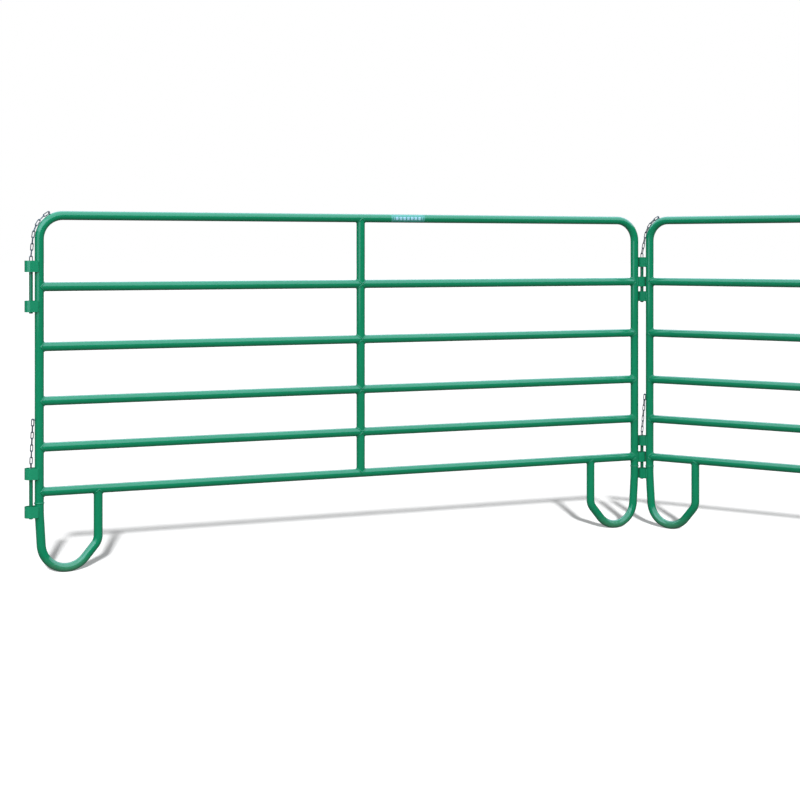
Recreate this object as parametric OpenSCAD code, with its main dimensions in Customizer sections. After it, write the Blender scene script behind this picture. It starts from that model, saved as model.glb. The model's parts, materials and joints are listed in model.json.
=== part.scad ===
// Two tubular livestock panels pinned together at a corner, so that the pair stands up by itself.
// Millimetres, Z up. The ground is z = 0 and panel a runs along +X. Panel b is the same panel,
// hung on the pins at the far end of panel a.

/* [Panel] */
// Distance between the centres of the two uprights
panel_l = 2958; // [2000:1:3600]
// Outside diameter of the tube
tube_d = 38.1; // [32:0.1:45]
// Wall thickness of the tube
tube_wall = 1.9; // [1.2:0.1:3]
// Height of the top rail's centre
top_z = 1504.95; // [1450:0.05:1700]
// Heights of the centres of the five lower rails, from the top down
rail_z = [1205, 953, 725, 531, 344]; // [340:1:1240]
// Centreline radius of the two top corners
corner_r = 100; // [80:1:150]
// Turn from panel a to panel b, away from one straight line
corner_turn = 64; // [0:1:90]
// Gap left for the weld where one tube meets another
weld_gap = 0.1; // [0.05:0.05:0.3]

/* [Legs] */
// Height at which an upright plugs into its leg
leg_top_z = 298; // [290:1:310]
// Length of the reduced end of an upright, inside the leg
spigot_l = 30; // [15:1:33]
// Straight length of the leg below that joint
leg_neck_l = 34; // [34:1:50]
// Inward lean of the leg's outer arm, in degrees
leg_lean = 3.5; // [1:0.5:6]
// Centreline radius of the bend that starts the lean
lean_r = 300; // [200:10:400]
// Centreline radius of the round toe that stands on the ground
toe_r = 107; // [95:1:115]
// Slope of the straight length between the toe and the heel, in degrees
leg_slope = 50; // [45:1:55]
// Centreline radius of the heel bend, below the inner arm
heel_r = 60; // [50:1:70]
// Distance from the upright to the leg's inner arm
inner_arm_out = 253; // [250:1:285]

/* [Connectors] */
// Height of one connector strap
lug_h = 48; // [40:1:55]
// Thickness of the strap
strap_t = 4.75; // [3:0.25:6]
// Distance from the upright to the centre of a strap's round end
lug_out = 38; // [36:0.5:39]
// Distance from the upright's centre to where a strap's two ends stop
lug_tail = 10; // [4:1:12]
// Centre height of the upper single strap
upper_z = 1205; // [1190:1:1210]
// Centre height of the lower single strap
lower_z = 342; // [340:1:346]
// How much higher the upper pair of straps is centred than the single one, on panel a and on panel b
pair_rise = [2, 12]; // [0:1:14]
// Half the distance between the two straps of a pair, at the upper connector
upper_spread = 84; // [70:1:90]
// Half the distance between the two straps of a pair, at the lower connector
lower_spread = 80; // [70:1:82]

/* [Drop pins and chains] */
// Diameter of a drop pin
pin_d = 16; // [14:0.5:17]
// How far a pin's tip shows below its lower strap
pin_below = 6; // [3:1:10]
// Distance from the upright to a pin that holds no neighbour
free_pin_out = 35; // [33:0.5:40]
// Distance from both uprights to a pin that joins two panels
hinge_out = 43.85; // [43.5:0.05:46]
// Diameter of the wire of the bails, staples and chain links
wire_d = 4; // [3:0.5:4.5]
// Inside length of one chain link
link_pitch = 26.5; // [25:0.5:30]
// Outside width of one chain link
link_w = 14; // [13:0.5:15]
// Number of links in an upper chain
upper_links = 8; // [8:1:9]
// Number of links in a lower chain
lower_links = 7; // [6:1:8]

/* [Sticker] */
// Length of the blank sticker on the top rail
sticker_l = 172; // [100:1:300]
// Distance from the middle of the panel to the start of the sticker
sticker_x = 147; // [60:1:400]
// Angle that the sticker wraps round the rail
sticker_wrap = 110; // [60:1:160]

/* [Hidden] */
$fn = 64;

tube_r = tube_d / 2;
bore_d = tube_d - 2 * tube_wall;
wire_r = wire_d / 2;
lug_in_r = tube_r + weld_gap;
lug_out_r = lug_in_r + strap_t;

pin_chamfer = 1.5;

// The leg's centreline: down, leaning in, round the toe, up the slope, then upright
lean_end_z = leg_top_z - leg_neck_l - lean_r * sin(leg_lean);
lean_run = (lean_end_z - tube_r - toe_r * (1 - sin(leg_lean))) / cos(leg_lean);
toe_x = lean_r * (1 - cos(leg_lean)) + lean_run * sin(leg_lean) + toe_r * cos(leg_lean);
slope_x = toe_x + toe_r * sin(leg_slope);
slope_z = tube_r + toe_r * (1 - cos(leg_slope));
slope_run = (inner_arm_out - heel_r * (1 - sin(leg_slope)) - slope_x) / cos(leg_slope);
inner_arm_z = slope_z + slope_run * sin(leg_slope) + heel_r * cos(leg_slope);
leg_steps = [
    [leg_neck_l, lean_r, leg_lean],
    [lean_run, toe_r, 90 + leg_slope - leg_lean],
    [slope_run, heel_r, 90 - leg_slope],
    [rail_z[4] - inner_arm_z, 0, 0]
];

// The hoop's centreline: up one upright, along the top rail and down the other
upright_run = top_z - corner_r - leg_top_z;
hoop_steps = [
    [upright_run, corner_r, 90],
    [panel_l - 2 * corner_r, corner_r, 90],
    [upright_run, 0, 0]
];
shoulder_h = 4;
join_l = 1;
join_step = 0.1;
spigot_d = bore_d - 0.5;

// A bail stands on top of its pin, and a staple stands on the tube
bail_r = 6;
bail_leg = 14;
link_gap = 0.2;
chain_off = link_w / 2 + 1.5;
bail_top = bail_leg + bail_r;

// The footprint of the pair, measured from the foot of panel a's first upright
far_out = hinge_out + panel_l + lug_out;
hinge_x = panel_l + hinge_out;
low_x = -lug_out - lug_out_r;
high_x = hinge_x + far_out * cos(corner_turn) + lug_out_r;
low_y = -far_out * sin(corner_turn) - lug_out_r;
high_y = lug_out_r;
middle = [(low_x + high_x) / 2, (low_y + high_y) / 2, 0];

function pin_out(panel) = panel == "a" ? free_pin_out : hinge_out;
function upper_pair_z(panel) = upper_z + pair_rise[panel == "a" ? 0 : 1];
function pin_top_z(pair_z, spread) = pair_z + spread + lug_h / 2;

// A chain starts under the top of its pin's bail
function chain_start(out, pair_z, spread) = [-out, pin_top_z(pair_z, spread) + bail_top - wire_r];

// An upper chain runs straight to a touching point on the corner, then round it
corner = [corner_r, top_z - corner_r];
wrap_r = corner_r + tube_r + chain_off;
function straight_part(start) = sqrt(pow(norm(start - corner), 2) - wrap_r * wrap_r);
function touch_angle(start) =
    360 + atan2(start[1] - corner[1], start[0] - corner[0]) - acos(wrap_r / norm(start - corner));
function wrap_angle(start, s) = touch_angle(start) - (s - straight_part(start)) / wrap_r * 180 / PI;
function on_circle(angle) = corner + wrap_r * [cos(angle), sin(angle)];
function upper_route(start, s) = s < straight_part(start)
    ? start + (on_circle(touch_angle(start)) - start) * s / straight_part(start)
    : on_circle(wrap_angle(start, s));

// A lower chain runs straight up to its staple
lower_chain_l = lower_links * link_pitch;
function lower_shift(start) = -start[0] - tube_r - chain_off;
function lower_rise(start) = sqrt(pow(lower_chain_l, 2) - pow(lower_shift(start), 2));
function lower_route(start, s) = start + [lower_shift(start), lower_rise(start)] * s / lower_chain_l;

green = "#12895a";
strap_green = "#1d7f58";
pin_green = "#156b47";
zinc = "#8c9092";

// Puts a piece of one panel in its place
module on_panel(panel) {
    if (panel == "a") translate(-middle) children();
    else translate([hinge_x, 0, 0] - middle) rotate([0, 0, -corner_turn])
        translate([hinge_out, 0, 0]) children();
}

// Mirrors a piece from the pin end to the other end of the panel
module at_lug_end() {
    translate([panel_l, 0, 0]) mirror([1, 0, 0]) children();
}

// A solid bar through steps of [length, bend radius, turn], starting along +X and turning towards +Z.
// A straight length is a hair thinner than the bends and runs a little way into them, so they join.
module bar_run(d, steps, i = 0) {
    length = steps[i][0];
    r = steps[i][1];
    turn = steps[i][2];
    before = i > 0 ? join_l : 0;
    after = turn > 0 ? join_l : 0;
    translate([-before, 0, 0]) rotate([0, 90, 0]) cylinder(d = d - join_step, h = length + before + after);
    if (turn > 0) translate([length, 0, 0]) {
        translate([0, 0, r]) rotate([90, 0, 0]) rotate([0, 0, -90])
            rotate_extrude(angle = turn) translate([r, 0]) circle(d = d);
        translate([r * sin(turn), 0, r * (1 - cos(turn))]) rotate([0, -turn, 0]) bar_run(d, steps, i + 1);
    }
}

module tube(length) {
    difference() {
        cylinder(d = tube_d, h = length);
        translate([0, 0, -1]) cylinder(d = bore_d, h = length + 2);
    }
}

// Both uprights and the top rail are one bent tube, with its two ends reduced to plug into the legs
module hoop() {
    color(green) difference() {
        union() {
            translate([0, 0, leg_top_z]) rotate([0, -90, 0]) mirror([0, 0, 1]) bar_run(tube_d, hoop_steps);
            for (x = [0, panel_l]) translate([x, 0, leg_top_z - spigot_l])
                cylinder(d = spigot_d, h = spigot_l + 1);
        }
        difference() {
            translate([0, 0, leg_top_z]) rotate([0, -90, 0]) mirror([0, 0, 1]) bar_run(bore_d, hoop_steps);
            for (x = [0, panel_l]) translate([x, 0, leg_top_z - 1]) cylinder(d = tube_d, h = shoulder_h + 1);
        }
        for (x = [0, panel_l]) translate([x, 0, leg_top_z - spigot_l - 1])
            cylinder(d = spigot_d - 2 * tube_wall, h = spigot_l + shoulder_h + 2);
    }
}

// A straight rail with both ends saddle-cut to the uprights
module rail(z) {
    color(green) translate([0, 0, z]) difference() {
        rotate([0, 90, 0]) tube(panel_l);
        for (x = [0, panel_l]) translate([x, 0, -tube_d]) cylinder(r = tube_r + weld_gap, h = 2 * tube_d);
    }
}

// A short stay in the middle of the panel, saddle-cut to the rails above and below it
module stay(z_low, z_high) {
    color(green) translate([panel_l / 2, 0, 0]) difference() {
        translate([0, 0, z_low]) tube(z_high - z_low);
        for (z = [z_low, z_high]) translate([-tube_d, 0, z]) rotate([0, 90, 0])
            cylinder(r = tube_r + weld_gap, h = 2 * tube_d);
    }
}

// A bent leg, open at the top and saddle-cut to the underside of the lowest rail
module leg() {
    color(green) difference() {
        translate([0, 0, leg_top_z]) rotate([0, 90, 0]) bar_run(tube_d, leg_steps);
        translate([0, 0, leg_top_z]) rotate([0, 90, 0]) bar_run(bore_d, leg_steps);
        translate([0, 0, leg_top_z - weld_gap]) cylinder(d = tube_d + 2, h = 2);
        translate([inner_arm_out - tube_d, 0, rail_z[4]]) rotate([0, 90, 0])
            cylinder(r = tube_r + weld_gap, h = 2 * tube_d);
    }
}

// A flat strap bent into a U, with its two ends welded to the front and back of the tube
module lug(z) {
    color(strap_green) translate([0, 0, z - lug_h / 2]) linear_extrude(height = lug_h) difference() {
        union() {
            translate([-lug_out, 0]) circle(r = lug_out_r);
            translate([-lug_out, -lug_out_r]) square([lug_out - lug_tail, 2 * lug_out_r]);
        }
        translate([-lug_out, 0]) circle(r = lug_in_r);
        translate([-lug_out, -lug_in_r]) square([lug_out, 2 * lug_in_r]);
    }
}

module drop_pin(out, pair_z, spread) {
    length = 2 * spread + lug_h + pin_below;
    end_d = pin_d - 2 * pin_chamfer;
    color(pin_green) translate([-out, 0, pin_top_z(pair_z, spread) - length]) {
        cylinder(d1 = end_d, d2 = pin_d, h = pin_chamfer);
        translate([0, 0, pin_chamfer]) cylinder(d = pin_d, h = length - 2 * pin_chamfer);
        translate([0, 0, length - pin_chamfer]) cylinder(d1 = pin_d, d2 = end_d, h = pin_chamfer);
    }
}

// A wire arch of the given height, standing on z = 0 and spanning X
module wire_arch(height) {
    translate([0, 0, height - bail_r]) rotate([90, 0, 0]) rotate_extrude(angle = 180)
        translate([bail_r, 0]) circle(r = wire_r, $fn = 32);
    for (x = [-bail_r, bail_r]) translate([x, 0, -1]) cylinder(r = wire_r, h = height - bail_r + 1, $fn = 32);
}

// The arch that joins a pin to its chain, turned to suit the first link
module pin_bail(out, pair_z, spread, turn) {
    color(zinc) translate([-out, 0, pin_top_z(pair_z, spread)]) rotate([0, 0, turn]) difference() {
        wire_arch(bail_top);
        translate([0, 0, -2]) cylinder(d = pin_d + 2, h = 2 + weld_gap);
    }
}

// One chain link lying along X in the XZ plane
module chain_link() {
    r = (link_w - wire_d) / 2;
    straight = link_pitch + wire_d + 2 * link_gap - 2 * r;
    for (side = [-1, 1]) translate([-straight / 2, 0, side * r]) rotate([0, 90, 0])
        cylinder(r = wire_r, h = straight, $fn = 32);
    for (turn = [0, 180]) rotate([0, turn, 0]) translate([straight / 2, 0, 0]) rotate([90, 0, 0])
        rotate([0, 0, -90]) rotate_extrude(angle = 180) translate([r, 0]) circle(r = wire_r, $fn = 32);
}

// A link between two points of a chain's route, edge-on or flat to the panel in turn
module link_between(from, to, flat) {
    run = to - from;
    translate([(from[0] + to[0]) / 2, 0, (from[1] + to[1]) / 2])
        rotate([0, -atan2(run[1], run[0]), 0]) rotate([flat ? 90 : 0, 0, 0]) chain_link();
}

module upper_chain(start) {
    color(zinc) for (i = [0 : upper_links - 1]) link_between(
        upper_route(start, i * link_pitch), upper_route(start, (i + 1) * link_pitch), i % 2 == 0);
}

module lower_chain(start) {
    color(zinc) for (i = [0 : lower_links - 1]) link_between(
        lower_route(start, i * link_pitch), lower_route(start, (i + 1) * link_pitch), i % 2 == 1);
}

// The staple on the corner bend that holds an upper chain
module upper_chain_staple(start) {
    angle = wrap_angle(start, upper_links * link_pitch - wire_r);
    color(zinc) difference() {
        translate([corner[0], 0, corner[1]]) rotate([0, 90 - angle, 0])
            translate([0, 0, corner_r + tube_r]) rotate([0, 0, 90]) wire_arch(chain_off);
        translate([corner[0], 0, corner[1]]) rotate([90, 0, 0]) rotate([0, 0, angle - 15])
            rotate_extrude(angle = 30) translate([corner_r, 0]) circle(r = tube_r + weld_gap);
    }
}

// The staple on the upright that holds a lower chain
module lower_chain_staple(start) {
    z = lower_route(start, lower_chain_l)[1] - wire_r;
    color(zinc) translate([0, 0, z]) difference() {
        translate([-tube_r, 0, 0]) rotate([0, -90, 0]) rotate([0, 0, 90]) wire_arch(chain_off);
        translate([0, 0, -tube_r]) cylinder(r = tube_r + weld_gap, h = tube_d);
    }
}

// A thin blank sticker round the front of the top rail
module blank_sticker() {
    color("#bcd3e0") translate([panel_l / 2 + sticker_x, 0, top_z]) rotate([0, 90, 0])
        rotate([0, 0, -90 - sticker_wrap / 2]) rotate_extrude(angle = sticker_wrap)
        translate([tube_r + weld_gap, 0]) square([0.3, sticker_l]);
}

for (panel = ["a", "b"]) on_panel(panel) {
    out = pin_out(panel);
    pair_z = upper_pair_z(panel);
    upper_start = chain_start(out, pair_z, upper_spread);
    lower_start = chain_start(out, lower_z, lower_spread);
    hoop();
    for (i = [0 : 4]) {
        above_z = i == 0 ? top_z : rail_z[i - 1];
        rail(rail_z[i]);
        stay(rail_z[i], above_z);
    }
    leg();
    at_lug_end() leg();
    lug(pair_z + upper_spread);
    lug(pair_z - upper_spread);
    lug(lower_z + lower_spread);
    lug(lower_z - lower_spread);
    at_lug_end() lug(upper_z);
    at_lug_end() lug(lower_z);
    upper_chain_staple(upper_start);
    lower_chain_staple(lower_start);
    drop_pin(out, pair_z, upper_spread);
    drop_pin(out, lower_z, lower_spread);
    pin_bail(out, pair_z, upper_spread, 0);
    pin_bail(out, lower_z, lower_spread, 90);
    upper_chain(upper_start);
    lower_chain(lower_start);
    blank_sticker();
}
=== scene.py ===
import json
import math
import random

import bpy
from mathutils import Matrix, Vector


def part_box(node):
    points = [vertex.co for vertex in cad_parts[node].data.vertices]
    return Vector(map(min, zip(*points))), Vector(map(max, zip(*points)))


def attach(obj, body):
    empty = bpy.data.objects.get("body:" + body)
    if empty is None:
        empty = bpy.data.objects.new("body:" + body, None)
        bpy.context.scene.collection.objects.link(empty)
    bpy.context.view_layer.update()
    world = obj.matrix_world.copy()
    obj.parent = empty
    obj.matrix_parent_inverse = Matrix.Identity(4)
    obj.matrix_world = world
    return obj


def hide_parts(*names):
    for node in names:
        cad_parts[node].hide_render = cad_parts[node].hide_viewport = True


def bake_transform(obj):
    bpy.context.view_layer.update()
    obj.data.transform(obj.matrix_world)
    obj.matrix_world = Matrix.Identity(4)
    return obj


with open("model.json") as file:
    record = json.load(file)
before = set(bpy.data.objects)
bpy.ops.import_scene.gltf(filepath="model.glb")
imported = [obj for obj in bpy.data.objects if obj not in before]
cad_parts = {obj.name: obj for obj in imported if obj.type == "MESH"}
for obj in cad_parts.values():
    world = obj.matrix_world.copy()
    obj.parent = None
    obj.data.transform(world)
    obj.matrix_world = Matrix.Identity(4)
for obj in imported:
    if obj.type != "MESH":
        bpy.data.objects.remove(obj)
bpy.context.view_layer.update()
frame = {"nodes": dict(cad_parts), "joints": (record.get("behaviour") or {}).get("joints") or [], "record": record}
scene = bpy.context.scene
print("frame loaded:", len(frame["nodes"]), "nodes")


# Where the two panels stand, worked out from the frame.
tube = {
    "radius": 0.01905,  # 38.1 mm tube
    "cornerRadius": 0.100,  # centreline of the top corners
    "legTop": 0.298,  # height of the joint between upright and leg
}
tubeR = tube["radius"]

hoopLow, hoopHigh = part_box("a_hoop")
panelLength = hoopHigh.x - hoopLow.x - 2 * tubeR
topRailZ = hoopHigh.z - tubeR
footA = Vector((hoopLow.x + tubeR, (hoopLow.y + hoopHigh.y) / 2, 0))

hinge = Vector(next(j["pos_m"] for j in frame["joints"] if j["name"] == "corner_hinge"))
hinge.z = 0
hingeOut = hinge.x - footA.x - panelLength
bLow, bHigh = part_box("b_hoop")
cornerTurn = math.atan2(bHigh.y - bLow.y - 2 * tubeR, bHigh.x - bLow.x - 2 * tubeR)

# a panel's own x runs from its pin end to its single-strap end, and its front faces -y
panelPlace = {
    "a": Matrix.Translation(footA),
    "b": Matrix.Translation(hinge)
    @ Matrix.Rotation(-cornerTurn, 4, "Z")
    @ Matrix.Translation((hingeOut, 0, 0)),
}


def middleZ(node):
    low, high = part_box(node)
    return (low.z + high.z) / 2


railZ = [middleZ(f"a_rail_{i}") for i in range(2, 7)]


cameraPlan = {
    "left": 1.805,  # from the first upright
    "front": 7.276,
    "height": 1.353,
    "turn": 25.58,  # degrees to the right of square-on
    "lens": 78.75,
    "shift": -0.1856,  # the lens is level, and the object sits low in the view
    "sensor": 36,
    "farthest": 200,
}
cameraData = bpy.data.cameras.new("studioCamera")
cameraData.lens = cameraPlan["lens"]
cameraData.sensor_width = cameraPlan["sensor"]
cameraData.shift_y = cameraPlan["shift"]
cameraData.clip_end = cameraPlan["farthest"]
camera = bpy.data.objects.new("studioCamera", cameraData)
camera.location = footA + Vector((-cameraPlan["left"], -cameraPlan["front"], cameraPlan["height"]))
camera.rotation_euler = (math.radians(90), 0, -math.radians(cameraPlan["turn"]))
scene.collection.objects.link(camera)
scene.camera = camera
print("camera placed")


def linear(hexColour):
    # sRGB hex to linear, for the shader sockets
    channels = [int(hexColour[i:i + 2], 16) / 255 for i in (1, 3, 5)]
    return [c / 12.92 if c <= 0.04045 else ((c + 0.055) / 1.055) ** 2.4 for c in channels] + [1]


def addNode(tree, kind, settings=None, values=None, links=None):
    # settings are the node's own, values go on its inputs, links bring other nodes' outputs in
    node = tree.nodes.new(kind)
    for name, value in (settings or {}).items():
        setattr(node, name, value)
    for name, value in (values or {}).items():
        node.inputs[name].default_value = value
    for name, source in (links or {}).items():
        tree.links.new(source, node.inputs[name])
    return node


def newMaterial(name, surface):
    material = bpy.data.materials.new(name)
    material.use_nodes = True
    tree = material.node_tree
    tree.nodes.clear()
    shader = addNode(tree, "ShaderNodeBsdfPrincipled", values=surface)
    addNode(tree, "ShaderNodeOutputMaterial", links={"Surface": shader.outputs[0]})
    place = addNode(tree, "ShaderNodeTexCoord").outputs["Object"]
    return material, tree, shader, place


def rampStops(ramp, stops):
    # stops are (position, linear colour)
    ramp.color_ramp.elements[0].position, ramp.color_ramp.elements[0].color = stops[0]
    ramp.color_ramp.elements[-1].position, ramp.color_ramp.elements[-1].color = stops[-1]
    for position, colour in stops[1:-1]:
        ramp.color_ramp.elements.new(position).color = colour


def perMetre(millimetres):
    # a noise scale whose features are about this size
    return 1000 / millimetres


powderCoat = {
    "peel": 2.4,  # mm, orange peel
    "peelDepth": 0.12,  # mm
    "wave": 26,  # mm, slow unevenness of the film, which makes a highlight wander
    "waveDepth": 0.6,  # mm
    "patch": 420,  # mm, change of shade along a rail
    "speckle": 14,  # mm, between duller and glossier spots
    "glossier": 0.05,  # the change in roughness at each
    "duller": 0.06,
    "dust": "#8f8a78",
    "dustTop": 0.075,  # m, dust only at the feet
    "dustMost": 0.34,
    "rub": 9,  # mm, spots rubbed through
    "rubStretch": 0.28,  # how much longer than wide they are, as a scale along z
    "bareFrom": 0.70,
    "bareEdge": 0.04,
    "bareSteel": "#8a8f8c",
}


def makePowderCoat(name, main, deep, roughness, worn):
    # Polyester powder coat baked on steel: satin, with a fine orange peel under a bright soft highlight
    material, tree, shader, place = newMaterial(name, {
        "Metallic": 0, "IOR": 1.5, "Specular IOR Level": 0.1,
        "Coat Weight": 1.0, "Coat IOR": 1.6, "Coat Roughness": 0.1,
    })
    patch = addNode(tree, "ShaderNodeTexNoise",
                    values={"Scale": perMetre(powderCoat["patch"]), "Detail": 3}, links={"Vector": place})
    shade = addNode(tree, "ShaderNodeMix", {"data_type": "RGBA"},
                    links={"Factor": patch.outputs["Fac"]})
    shade.inputs["A"].default_value = linear(deep)
    shade.inputs["B"].default_value = linear(main)

    # pale dust that yard dirt leaves near the ground
    split = addNode(tree, "ShaderNodeSeparateXYZ", links={"Vector": place})
    low = addNode(tree, "ShaderNodeMapRange", values={
        "From Min": powderCoat["dustTop"], "From Max": 0.0, "To Min": 0.0, "To Max": powderCoat["dustMost"],
    }, links={"Value": split.outputs["Z"]})
    speckle = addNode(tree, "ShaderNodeTexNoise", values={
        "Scale": perMetre(powderCoat["speckle"]), "Detail": 5, "Roughness": 0.65,
    }, links={"Vector": place})
    dustAmount = addNode(tree, "ShaderNodeMath", {"operation": "MULTIPLY"},
                         links={0: low.outputs[0], 1: speckle.outputs["Fac"]})
    dusty = addNode(tree, "ShaderNodeMix", {"data_type": "RGBA"}, links={"Factor": dustAmount.outputs[0]})
    tree.links.new(shade.outputs["Result"], dusty.inputs["A"])
    dusty.inputs["B"].default_value = linear(powderCoat["dust"])
    colour = dusty.outputs["Result"]
    gloss = addNode(tree, "ShaderNodeMapRange", values={
        "From Min": 0.3, "From Max": 0.7,
        "To Min": roughness - powderCoat["glossier"], "To Max": roughness + powderCoat["duller"],
    }, links={"Value": speckle.outputs["Fac"]})

    if worn:
        # rubbed spots where steel shows through, long and thin as a sliding strap leaves them
        stretch = addNode(tree, "ShaderNodeMapping", values={"Scale": (1, 1, powderCoat["rubStretch"])},
                          links={"Vector": place})
        rub = addNode(tree, "ShaderNodeTexNoise", values={
            "Scale": perMetre(powderCoat["rub"]), "Detail": 6, "Roughness": 0.7,
        }, links={"Vector": stretch.outputs[0]})
        bareFrom = powderCoat["bareFrom"] - worn
        bare = addNode(tree, "ShaderNodeMapRange", values={
            "From Min": bareFrom, "From Max": bareFrom + powderCoat["bareEdge"],
        }, links={"Value": rub.outputs["Fac"]})
        steel = addNode(tree, "ShaderNodeMix", {"data_type": "RGBA"}, links={"Factor": bare.outputs[0]})
        tree.links.new(colour, steel.inputs["A"])
        steel.inputs["B"].default_value = linear(powderCoat["bareSteel"])
        colour = steel.outputs["Result"]
        tree.links.new(bare.outputs[0], shader.inputs["Metallic"])

    tree.links.new(colour, shader.inputs["Base Color"])
    tree.links.new(gloss.outputs[0], shader.inputs["Roughness"])

    peel = addNode(tree, "ShaderNodeTexNoise",
                   values={"Scale": perMetre(powderCoat["peel"]), "Detail": 2}, links={"Vector": place})
    wave = addNode(tree, "ShaderNodeTexNoise",
                   values={"Scale": perMetre(powderCoat["wave"]), "Detail": 1}, links={"Vector": place})
    waveBump = addNode(tree, "ShaderNodeBump", values={
        "Strength": 0.35, "Distance": powderCoat["waveDepth"] / 1000,
    }, links={"Height": wave.outputs["Fac"]})
    peelBump = addNode(tree, "ShaderNodeBump", values={
        "Strength": 0.22, "Distance": powderCoat["peelDepth"] / 1000,
    }, links={"Height": peel.outputs["Fac"], "Normal": waveBump.outputs[0]})
    tree.links.new(peelBump.outputs[0], shader.inputs["Normal"])
    return material


zincPlate = {
    "shades": ((0.32, "#3f4446"), (0.52, "#666c6f"), (0.7, "#8d9395")),
    "bloom": 6,  # mm
    "drawn": 1.2,  # mm, marks left by drawing the wire
    "drawnDepth": 0.1,  # mm
    "smoothest": 0.3,  # roughness
    "roughest": 0.55,
}


def makeZincWire():
    # Electro-zinc plated steel wire: cool grey metal, satin, dulled by white bloom in blotches
    material, tree, shader, place = newMaterial("zincPlatedWire", {"Metallic": 0.9})
    bloom = addNode(tree, "ShaderNodeTexNoise",
                    values={"Scale": perMetre(zincPlate["bloom"]), "Detail": 4, "Roughness": 0.6},
                    links={"Vector": place})
    tone = addNode(tree, "ShaderNodeValToRGB", links={"Fac": bloom.outputs["Fac"]})
    rampStops(tone, [(position, linear(shade)) for position, shade in zincPlate["shades"]])
    dull = addNode(tree, "ShaderNodeMapRange", links={"Value": bloom.outputs["Fac"]},
                   values={"To Min": zincPlate["smoothest"], "To Max": zincPlate["roughest"]})
    drawn = addNode(tree, "ShaderNodeTexNoise", values={"Scale": perMetre(zincPlate["drawn"]), "Detail": 3},
                    links={"Vector": place})
    bump = addNode(tree, "ShaderNodeBump", values={
        "Strength": 0.3, "Distance": zincPlate["drawnDepth"] / 1000,
    }, links={"Height": drawn.outputs["Fac"]})
    tree.links.new(tone.outputs["Color"], shader.inputs["Base Color"])
    tree.links.new(dull.outputs[0], shader.inputs["Roughness"])
    tree.links.new(bump.outputs[0], shader.inputs["Normal"])
    return material


stickerPrint = {
    "field": "#3c8a76",
    "border": "#4b937f",
    "ink": "#93b4bc",
    "blocks": 9,  # plain blocks along the sticker
    "blockAlong": (0.16, 0.84),  # share of each block's own length that is printed
    "blockTall": (0.3, 0.7),  # share of the sticker's height
    "printAlong": (0.08, 0.92),  # share of the sticker's length that the row of blocks takes
    "fieldAlong": (0.03, 0.97),  # inside the border
    "fieldTall": (0.12, 0.88),
    "wrinkle": 18,  # mm
    "wrinkleDepth": 0.2,  # mm
}


def makeStickerFilm():
    # Printed vinyl film: smooth and slightly glossy, a green field with a row of plain pale blocks
    material, tree, shader, place = newMaterial("printedVinyl", {
        "IOR": 1.5, "Roughness": 0.3, "Coat Weight": 0.3, "Coat Roughness": 0.12,
    })
    uv = addNode(tree, "ShaderNodeTexCoord").outputs["UV"]
    split = addNode(tree, "ShaderNodeSeparateXYZ", links={"Vector": uv})

    def both(first, second):
        product = addNode(tree, "ShaderNodeMath", {"operation": "MULTIPLY"}, links={0: first, 1: second})
        return product.outputs[0]

    def band(source, low, high):
        # 1 between low and high, 0 elsewhere
        above = addNode(tree, "ShaderNodeMath", {"operation": "GREATER_THAN"}, {1: low}, {0: source})
        below = addNode(tree, "ShaderNodeMath", {"operation": "LESS_THAN"}, {1: high}, {0: source})
        return both(above.outputs[0], below.outputs[0])

    def mixed(factor, first, second):
        mix = addNode(tree, "ShaderNodeMix", {"data_type": "RGBA"}, links={"Factor": factor})
        for socket, colour in (("A", first), ("B", second)):
            if isinstance(colour, str):
                mix.inputs[socket].default_value = linear(colour)
            else:
                tree.links.new(colour, mix.inputs[socket])
        return mix.outputs["Result"]

    along, tall = split.outputs["X"], split.outputs["Y"]
    repeat = addNode(tree, "ShaderNodeMath", {"operation": "MULTIPLY"},
                     {1: stickerPrint["blocks"]}, {0: along})
    phase = addNode(tree, "ShaderNodeMath", {"operation": "FRACT"}, links={0: repeat.outputs[0]})
    inBlock = band(phase.outputs[0], *stickerPrint["blockAlong"])
    block = both(inBlock, band(tall, *stickerPrint["blockTall"]))
    inner = both(band(along, *stickerPrint["fieldAlong"]), band(tall, *stickerPrint["fieldTall"]))
    printed = both(block, band(along, *stickerPrint["printAlong"]))
    ground = mixed(inner, stickerPrint["border"], stickerPrint["field"])
    tree.links.new(mixed(printed, ground, stickerPrint["ink"]), shader.inputs["Base Color"])
    wrinkle = addNode(tree, "ShaderNodeTexNoise", links={"Vector": place},
                      values={"Scale": perMetre(stickerPrint["wrinkle"]), "Detail": 2})
    bump = addNode(tree, "ShaderNodeBump", values={
        "Strength": 0.2, "Distance": stickerPrint["wrinkleDepth"] / 1000,
    }, links={"Height": wrinkle.outputs["Fac"]})
    tree.links.new(bump.outputs[0], shader.inputs["Normal"])
    return material


def makeStudioFloor():
    # Painted studio floor: matt, almost white, with a trace of unevenness
    material, tree, shader, place = newMaterial("studioFloorPaint", {
        "Roughness": 0.9, "Specular IOR Level": 0.1,
        "Emission Color": (1, 1, 1, 1), "Emission Strength": studio["floorGlow"],
    })
    tone = addNode(tree, "ShaderNodeTexNoise", links={"Vector": place},
                   values={"Scale": perMetre(studio["floorPatch"]), "Detail": 2})
    ramp = addNode(tree, "ShaderNodeValToRGB", links={"Fac": tone.outputs["Fac"]})
    rampStops(ramp, [(position, linear(shade)) for position, shade in studio["floorShades"]])
    tree.links.new(ramp.outputs["Color"], shader.inputs["Base Color"])
    return material


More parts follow.
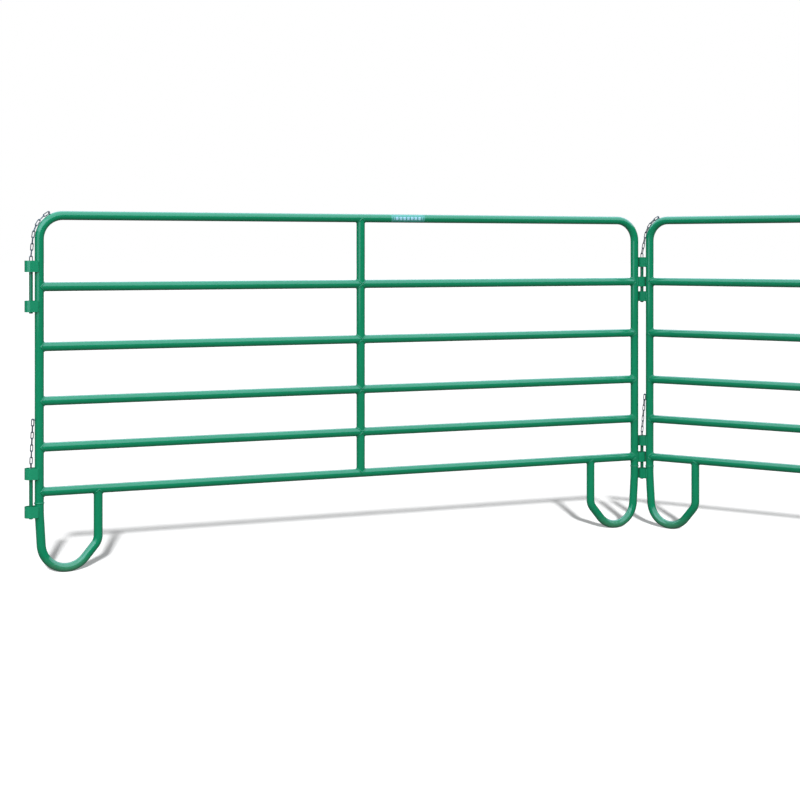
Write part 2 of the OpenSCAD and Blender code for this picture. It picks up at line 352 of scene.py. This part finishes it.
# colour, its darker patches, roughness, and how much is rubbed through to the steel
coats = {
    "greenPowderCoat": ("#027a4f", "#017046", 0.36, 0),
    "strapPowderCoat": ("#178659", "#11704a", 0.42, 0.015),
    "rubbedPinPaint": ("#127049", "#0d5a3a", 0.4, 0.06),
    "paintedWeldMetal": ("#128356", "#0d6c45", 0.45, 0),
}
tubeCoat, strapCoat, pinCoat, beadCoat = [makePowderCoat(name, *coat) for name, coat in coats.items()]
zincWire = makeZincWire()
stickerFilm = makeStickerFilm()
print("materials made")


# The steel comes straight from the frame and only needs its finishes.
finishOfSlot = {
    "green_powder_coat": tubeCoat,
    "strap_powder_coat": strapCoat,
    "pin_paint": pinCoat,
    "zinc_plate": zincWire,
    "sticker_film": stickerFilm,
}
for part in frame["record"]["subparts"]:
    node = frame["nodes"][part["node"]]
    node.data.materials.clear()
    node.data.materials.append(finishOfSlot[part["material_slot"]])
print("frame finished")


def newShape():
    return {"points": [], "faces": []}


def addTube(shape, path, radiusAt, sides, closed=False):
    # a round bar along a path, on rings that turn as little as they can; radiusAt(i) gives their sizes
    count = len(path)
    tangents = []
    for i in range(count):
        before = path[i - 1] if i or closed else path[0]
        after = path[(i + 1) % count] if i + 1 < count or closed else path[-1]
        tangents.append((after - before).normalized())
    side = tangents[0].orthogonal().normalized()
    first = len(shape["points"])
    for i in range(count):
        side = (side - tangents[i] * side.dot(tangents[i])).normalized()
        up = tangents[i].cross(side)
        r = radiusAt(i)
        for k in range(sides):
            angle = 2 * math.pi * k / sides
            shape["points"].append(path[i] + (side * math.cos(angle) + up * math.sin(angle)) * r)
    # on a closed path the last ring meets the first at the nearest turn
    offset = 0
    if closed:
        end = shape["points"][first + (count - 1) * sides]
        offset = min(range(sides), key=lambda k: (shape["points"][first + k] - end).length)
    for i in range(count if closed else count - 1):
        j = (i + 1) % count
        turn = offset if closed and j == 0 else 0
        for k in range(sides):
            shape["faces"].append((
                first + i * sides + k,
                first + i * sides + (k + 1) % sides,
                first + j * sides + (k + 1 + turn) % sides,
                first + j * sides + (k + turn) % sides,
            ))
    if not closed:
        shape["faces"].append(tuple(first + k for k in reversed(range(sides))))
        shape["faces"].append(tuple(first + (count - 1) * sides + k for k in range(sides)))


def makePiece(name, shape, place, material):
    mesh = bpy.data.meshes.new(name)
    mesh.from_pydata([place @ p for p in shape["points"]], [], shape["faces"])
    mesh.update()
    mesh.polygons.foreach_set("use_smooth", [True] * len(mesh.polygons))
    mesh.materials.append(material)
    piece = bpy.data.objects.new(name, mesh)
    scene.collection.objects.link(piece)
    return piece


bead = {
    "radius": 0.0023,
    "ripple": 0.0026,  # from one ripple to the next
    "rise": 0.13,  # how far a ripple stands out, as a share of the radius
    "wobble": (0.95, 1.06),
    "sides": 8,
    "ringsPerRipple": 3,
    "offset": 0.0009,  # the bead's middle stands this far out of the corner it fills
    "saddleRound": 0.006,  # keeps a saddle's line from coming to a point at its two sides
    "saddleLonger": 1.22,  # than a plain ring round the same tube
    "legSize": 1.1,
    "strapSize": 1.2,
    "strapInset": 0.002,  # a strap's fillet runs this far past the strap's end
    "strapShort": 0.006,  # and stops short of its two edges, by this much in all
}
randomBead = random.Random(7)


def addBead(shape, outline, length, closed=True, size=1.0):
    # a rippled bead; outline(share) gives its middle line
    rings = max(12, round(length / bead["ripple"]) * bead["ringsPerRipple"])
    wobble = [randomBead.uniform(*bead["wobble"]) for _ in range(rings)]

    def ringRadius(i):
        saw = (i % bead["ringsPerRipple"]) / bead["ringsPerRipple"]
        return bead["radius"] * size * (1 + bead["rise"] * (1 - saw)) * wobble[i]

    path = [outline(i / (rings if closed else rings - 1)) for i in range(rings)]
    addTube(shape, path, ringRadius, bead["sides"], closed)


def addSaddle(shape, place):
    # where a tube along +x meets a tube along z that stands at the origin
    start = randomBead.uniform(0, 1)

    def outline(share):
        angle = 2 * math.pi * (share + start)
        out = tubeR + bead["offset"]
        x = tubeR * math.sqrt(math.sin(angle) ** 2 + bead["saddleRound"]) + bead["offset"]
        return place @ Vector((x, out * math.cos(angle), out * math.sin(angle)))

    addBead(shape, outline, 2 * math.pi * tubeR * bead["saddleLonger"])


def turned(x, z, fromX, fromZ):
    # the place whose +x and +z point along the two given directions
    fromX, fromZ = Vector(fromX), Vector(fromZ)
    columns = Matrix((fromX, fromZ.cross(fromX), fromZ)).transposed().to_4x4()
    return Matrix.Translation((x, 0, z)) @ columns


def addRing(shape, x, z, size):
    # round the joint between an upright and its leg
    def outline(share):
        angle = 2 * math.pi * share
        return Vector((x + tubeR * math.cos(angle), tubeR * math.sin(angle), z))

    addBead(shape, outline, 2 * math.pi * tubeR, size=size)


legArmOut = 0.253  # from the upright to the leg's inner arm
strapTail = 0.010  # the straps stop this far from the upright's centre
strapLow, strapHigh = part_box("a_upper_single_lug")
strapHeight = strapHigh.z - strapLow.z

# the straps, and whether each is at the panel's single-strap end
strapNodes = {
    "upper_pair_top_lug": False,
    "upper_pair_bottom_lug": False,
    "lower_pair_top_lug": False,
    "lower_pair_bottom_lug": False,
    "upper_single_lug": True,
    "lower_single_lug": True,
}


def addStrapWelds(shape, z, atLugEnd):
    # two upright fillets, in the corner between each end of the strap and the tube
    short = strapTail - bead["strapInset"]
    x = panelLength + short if atLugEnd else -short
    for sideways in (-1, 1):
        y = sideways * math.sqrt((tubeR + bead["offset"]) ** 2 - short ** 2)

        def outline(share):
            return Vector((x, y, z + (share - 0.5) * (strapHeight - bead["strapShort"])))

        addBead(shape, outline, strapHeight, closed=False, size=bead["strapSize"])


def makeWelds(panel):
    place = panelPlace[panel]
    rails = newShape()
    for z in railZ:
        addSaddle(rails, turned(0, z, (1, 0, 0), (0, 0, 1)))
        addSaddle(rails, turned(panelLength, z, (-1, 0, 0), (0, 0, 1)))
    stays = newShape()
    middle = panelLength / 2
    for above, below in zip([topRailZ] + railZ[:-1], railZ):
        addSaddle(stays, turned(middle, below, (0, 0, 1), (1, 0, 0)))
        addSaddle(stays, turned(middle, above, (0, 0, -1), (1, 0, 0)))
    legs = newShape()
    for x, arm in ((0, legArmOut), (panelLength, panelLength - legArmOut)):
        addRing(legs, x, tube["legTop"], bead["legSize"])
        addSaddle(legs, turned(arm, railZ[-1], (0, 0, -1), (1, 0, 0)))
    straps = newShape()
    for name, atLugEnd in strapNodes.items():
        addStrapWelds(straps, middleZ(f"{panel}_{name}"), atLugEnd)
    for name, shape in (("rail", rails), ("stay", stays), ("leg", legs), ("strap", straps)):
        piece = makePiece(f"{panel}_{name}_welds", shape, place, beadCoat)
        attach(piece, f"panel_{panel}")


for panel in "ab":
    makeWelds(panel)
print("welds made")


chain = {
    "wire": 0.002,  # radius of the wire
    "pitch": 0.0265,
    "width": 0.014,
    "play": 0.0002,
    "upperLinks": 8,
    "lowerLinks": 7,
    "clear": 0.0085,  # from the tube's surface to the chain's middle
    "bailTop": 0.020,
    "sway": 5,  # degrees that a link may hang out of true
    "arcPoints": 10,  # round each end of a link
    "sides": 10,
    "weldSwell": 1.14,
    "followFrom": 0.6,  # of a link's length above the pin: the point there is worked out, but nothing uses it
}
randomChain = random.Random(3)


def linkPath():
    # the middle line of one link, lying along x in the xz plane
    r = (chain["width"] - 2 * chain["wire"]) / 2
    half = (chain["pitch"] + 2 * chain["wire"] + 2 * chain["play"]) / 2 - r
    path = []
    shares = [i / (chain["arcPoints"] - 1) for i in range(chain["arcPoints"])]
    for share in shares:
        angle = math.pi * (share - 0.5)
        path.append(Vector((half + r * math.cos(angle), 0, r * math.sin(angle))))
    path += [Vector((half * (1 - share), 0, r)) for share in (0.5, 0.9, 1.0, 1.1, 1.5)]
    for share in shares:
        angle = math.pi * (share + 0.5)
        path.append(Vector((-half + r * math.cos(angle), 0, r * math.sin(angle))))
    path += [Vector((half * (share - 1), 0, -r)) for share in (0.5, 1.0, 1.5)]
    return path


linkLine = linkPath()
weldedPoint = chain["arcPoints"] + 2  # the link's own butt weld, in the middle of one side


def addLink(shape, start, end, flat):
    along = end - start
    tilt = (90 if flat else 0) + randomChain.uniform(-chain["sway"], chain["sway"])
    lean = Matrix.Rotation(-math.atan2(along.z, along.x), 4, "Y")
    place = Matrix.Translation((start + end) / 2) @ lean @ Matrix.Rotation(math.radians(tilt), 4, "X")

    def wireRadius(i):
        return chain["wire"] * (chain["weldSwell"] if i == weldedPoint else 1.0)

    addTube(shape, [place @ p for p in linkLine], wireRadius, chain["sides"], closed=True)


def upperRoute(pinOut, startZ):
    # straight up to the touching point on the corner, then round it
    corner = Vector((tube["cornerRadius"], 0, topRailZ - tube["cornerRadius"]))
    wrap = tube["cornerRadius"] + tubeR + chain["clear"]
    start = Vector((-pinOut, 0, startZ))
    off = start - corner
    straight = math.sqrt(off.length ** 2 - wrap ** 2)
    touch = math.atan2(off.z, off.x) % (2 * math.pi) - math.acos(wrap / off.length)

    def onCircle(angle):
        return corner + wrap * Vector((math.cos(angle), 0, math.sin(angle)))

    def point(s):
        if s < straight:
            return start.lerp(onCircle(touch), s / straight)
        return onCircle(touch - (s - straight) / wrap)

    return point


def lowerRoute(pinOut, startZ):
    # one straight run to the staple on the upright
    length = chain["lowerLinks"] * chain["pitch"]
    shift = pinOut - tubeR - chain["clear"]
    start = Vector((-pinOut, 0, startZ))
    end = start + Vector((shift, 0, math.sqrt(length ** 2 - shift ** 2)))
    return lambda s: start.lerp(end, s / length)


def makeChain(panel, where, pinOut, route, links, flatFirst):
    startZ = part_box(f"{panel}_{where}_drop_pin")[1].z + chain["bailTop"] - chain["wire"]
    point = route(pinOut, startZ)
    pitch = chain["pitch"]
    shape = newShape()
    for i in range(links):
        addLink(shape, point(i * pitch), point((i + 1) * pitch), (i % 2 == 0) == flatFirst)
    place = panelPlace[panel]
    piece = makePiece(f"{panel}_{where}_link_chain", shape, place, zincWire)
    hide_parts(f"{panel}_{where}_chain")
    place @ point(links * pitch)
    place @ point(chain["followFrom"] * pitch)
    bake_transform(piece)


def pinDistance(panel):
    # from the panel's first upright out to its pins
    low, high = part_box(f"{panel}_upper_drop_pin")
    middle = panelPlace[panel].inverted() @ ((low + high) / 2)
    return -middle.x


for panel in "ab":
    out = pinDistance(panel)
    makeChain(panel, "upper", out, upperRoute, chain["upperLinks"], True)
    makeChain(panel, "lower", out, lowerRoute, chain["lowerLinks"], False)
print("chains made")


sticker = {
    "length": 0.172,
    "start": 0.147,  # from the middle of the panel
    "wrap": 110,  # degrees round the front of the rail
    "stand": 0.00035,  # off the tube
    "film": 0.0002,
    "round": 0.008,  # corner radius
    "alongSteps": 44,
    "roundSteps": 18,
}


def makeSticker(panel):
    shape = newShape()
    uvs = []
    half = math.radians(sticker["wrap"]) / 2
    tall = 2 * half * tubeR
    columns, rows = sticker["alongSteps"], sticker["roundSteps"]
    for i in range(columns + 1):
        along = i / columns * sticker["length"]
        edge = min(along, sticker["length"] - along)
        # the sheet is narrower near its two ends, where its corners are round
        cut = 0
        if edge < sticker["round"]:
            cut = sticker["round"] - math.sqrt(sticker["round"] ** 2 - (sticker["round"] - edge) ** 2)
        for k in range(rows + 1):
            v = k / rows * 2 - 1
            angle = v * (half - cut / tubeR)
            r = tubeR + sticker["stand"]
            shape["points"].append(Vector((
                panelLength / 2 + sticker["start"] + along,
                -r * math.cos(angle),
                topRailZ + r * math.sin(angle),
            )))
            uvs.append((along / sticker["length"], 0.5 + angle * tubeR / tall))
    for i in range(columns):
        for k in range(rows):
            a = i * (rows + 1) + k
            shape["faces"].append((a, a + rows + 1, a + rows + 2, a + 1))
    piece = makePiece(f"{panel}_rail_sticker", shape, panelPlace[panel], stickerFilm)
    layer = piece.data.uv_layers.new(name="printing")
    for loop in piece.data.loops:
        layer.data[loop.index].uv = uvs[loop.vertex_index]
    film = piece.modifiers.new("film", "SOLIDIFY")
    film.thickness = sticker["film"]
    film.offset = -1
    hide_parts(f"{panel}_blank_sticker")
    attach(piece, f"panel_{panel}")


for panel in "ab":
    makeSticker(panel)
print("stickers made")


studio = {
    "floorSize": 400,
    "floorShades": ((0.3, "#f3f3f3"), (0.7, "#f8f8f8")),
    "floorPatch": 1667,  # mm
    "floorGlow": 0.3,  # keeps the shadow pale
    "heading": 69,  # degrees from +x that the main light travels towards
    "elevation": 18.5,
    "keyStrength": 1.8,
    "keyAngle": 14,  # degrees across
    "floorStrength": 8.3,  # the same light again for the floor alone
    "floorAngle": 3.5,
    "fill": 0.06,
    "bounce": 0.15,  # what the white floor throws back up
    "fillTint": "#f2f8ff",
    "horizon": (-0.1, 0.05),  # the heights between which the bounce gives way to the fill
    "overheadRadiance": 2.4,
    "overheadSize": (28.0, 31.0),
    "overheadPlace": (1.0, -2.0, 6.2),  # wide enough to show along the top third of every rail
    "overheadAim": (1.0, -2.0, 0),
    "sideRadiance": 1.5,
    "sideSize": (6.0, 5.0),
    "sidePlace": (-5.0, -2.2, 3.2),  # beyond panel a's free end, for the light stripe on its uprights
    "sideAim": (0, 0, 1.2),
    "boxTint": "#cbe4ff",
}
# the low tubes are all that shades the floor
floorShadowNodes = ["rail_6", "leg_pin_end", "leg_lug_end"]


def newGroup(name, members):
    group = bpy.data.collections.new(name)
    for member in members:
        group.objects.link(member)
    return group


def linkToFloor(light, state):
    # a light that falls on the floor only, or on everything but the floor
    group = newGroup(light.name + "Receivers", [bpy.data.objects["studioFloor"]])
    group.collection_objects[0].light_linking.link_state = state
    light.light_linking.receiver_collection = group


def makeFloor():
    half = studio["floorSize"] / 2
    mesh = bpy.data.meshes.new("studioFloor")
    corners = [(-half, -half, 0), (half, -half, 0), (half, half, 0), (-half, half, 0)]
    mesh.from_pydata(corners, [], [(0, 1, 2, 3)])
    mesh.materials.append(makeStudioFloor())
    floor = bpy.data.objects.new("studioFloor", mesh)
    # its light on the object is the world's bounce instead, which stays out of the gloss
    floor.visible_diffuse = False
    floor.visible_glossy = False
    scene.collection.objects.link(floor)


def makeWorld():
    # a white studio to look at, but the object is lit by a dim fill from above and the bounce from below
    world = bpy.data.worlds.new("studioWorld")
    world.use_nodes = True
    tree = world.node_tree
    tree.nodes.clear()
    direction = addNode(tree, "ShaderNodeTexCoord").outputs["Generated"]
    height = addNode(tree, "ShaderNodeSeparateXYZ", links={"Vector": direction}).outputs["Z"]
    below, above = studio["horizon"]
    level = addNode(tree, "ShaderNodeMapRange", values={
        "From Min": below, "From Max": above, "To Min": studio["bounce"], "To Max": studio["fill"],
    }, links={"Value": height})
    fill = addNode(tree, "ShaderNodeBackground", values={"Color": linear(studio["fillTint"])},
                   links={"Strength": level.outputs[0]})
    seen = addNode(tree, "ShaderNodeBackground", values={"Color": (1, 1, 1, 1), "Strength": 1.0})
    mix = addNode(tree, "ShaderNodeMixShader", links={
        0: addNode(tree, "ShaderNodeLightPath").outputs["Is Camera Ray"],
        1: fill.outputs[0],
        2: seen.outputs[0],
    })
    addNode(tree, "ShaderNodeOutputWorld", links={"Surface": mix.outputs[0]})
    scene.world = world


def addMainLight(name, strength, angle):
    # a distant light from the front left, low enough to throw the shadow well behind the panels
    data = bpy.data.lights.new(name, "SUN")
    data.energy = strength
    data.angle = math.radians(angle)
    light = bpy.data.objects.new(name, data)
    heading, elevation = math.radians(studio["heading"]), math.radians(studio["elevation"])
    travel = Vector((
        math.cos(heading) * math.cos(elevation),
        math.sin(heading) * math.cos(elevation),
        -math.sin(elevation),
    ))
    light.rotation_euler = travel.to_track_quat("-Z", "Y").to_euler()
    scene.collection.objects.link(light)
    return light


def addSoftbox(name):
    # a large pale blue panel that faces the point it is aimed at, like open sky
    data = bpy.data.lights.new(name + "Softbox", "AREA")
    data.shape = "RECTANGLE"
    data.size, data.size_y = studio[name + "Size"]
    data.energy = studio[name + "Radiance"] * math.pi * data.size * data.size_y
    data.color = linear(studio["boxTint"])[:3]
    box = bpy.data.objects.new(name + "Softbox", data)
    box.location = studio[name + "Place"]
    box.rotation_euler = (Vector(studio[name + "Aim"]) - box.location).to_track_quat("-Z", "Y").to_euler()
    scene.collection.objects.link(box)
    linkToFloor(box, "EXCLUDE")


makeFloor()
makeWorld()
keyLight = addMainLight("keyLight", studio["keyStrength"], studio["keyAngle"])
keyLight.visible_glossy = False  # it colours the tubes but leaves no hot spots
linkToFloor(keyLight, "EXCLUDE")
floorLight = addMainLight("floorLight", studio["floorStrength"], studio["floorAngle"])
linkToFloor(floorLight, "INCLUDE")
floorLight.light_linking.blocker_collection = newGroup("floorShadowTubes", [
    frame["nodes"][f"{panel}_{name}"] for panel in "ab" for name in floorShadowNodes
])
addSoftbox("overhead")
addSoftbox("side")
scene.view_settings.view_transform = "Standard"
print("studio lit")
